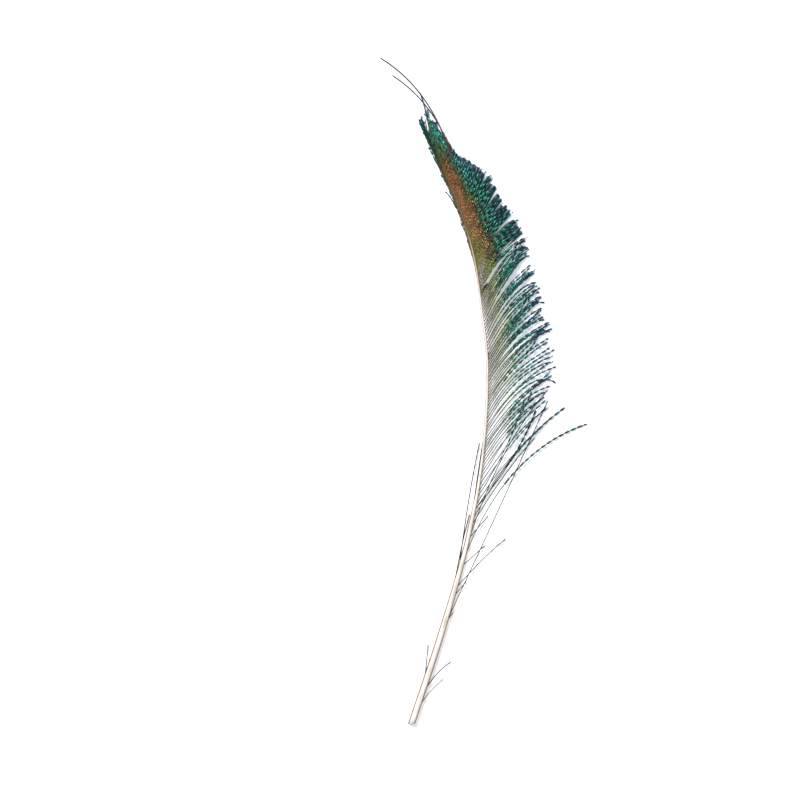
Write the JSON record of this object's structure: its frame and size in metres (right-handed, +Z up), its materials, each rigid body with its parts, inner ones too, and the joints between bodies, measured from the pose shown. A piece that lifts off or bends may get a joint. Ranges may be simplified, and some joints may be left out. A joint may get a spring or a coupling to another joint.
{
  "type": "peacock feather",
  "caption": "Curved one-sided sword feather from a peacock's train, lying flat: pale shaft, wide fringed blue-green vane on one side, cut quill.",
  "frame": {"origin": "middle of the feather's outline seen from above, on the surface that it lies on", "axes": "+Y from the cut end of the quill towards the tip, +Z up, +X towards the wide vane"},
  "size_m": [0.0972, 0.3128, 0.0049],
  "materials": {
    "vane": "satin",
    "shaft": "satin"
  },
  "bodies": {
    "root": {"feather": "vane"}
  },
  "joints": []
}
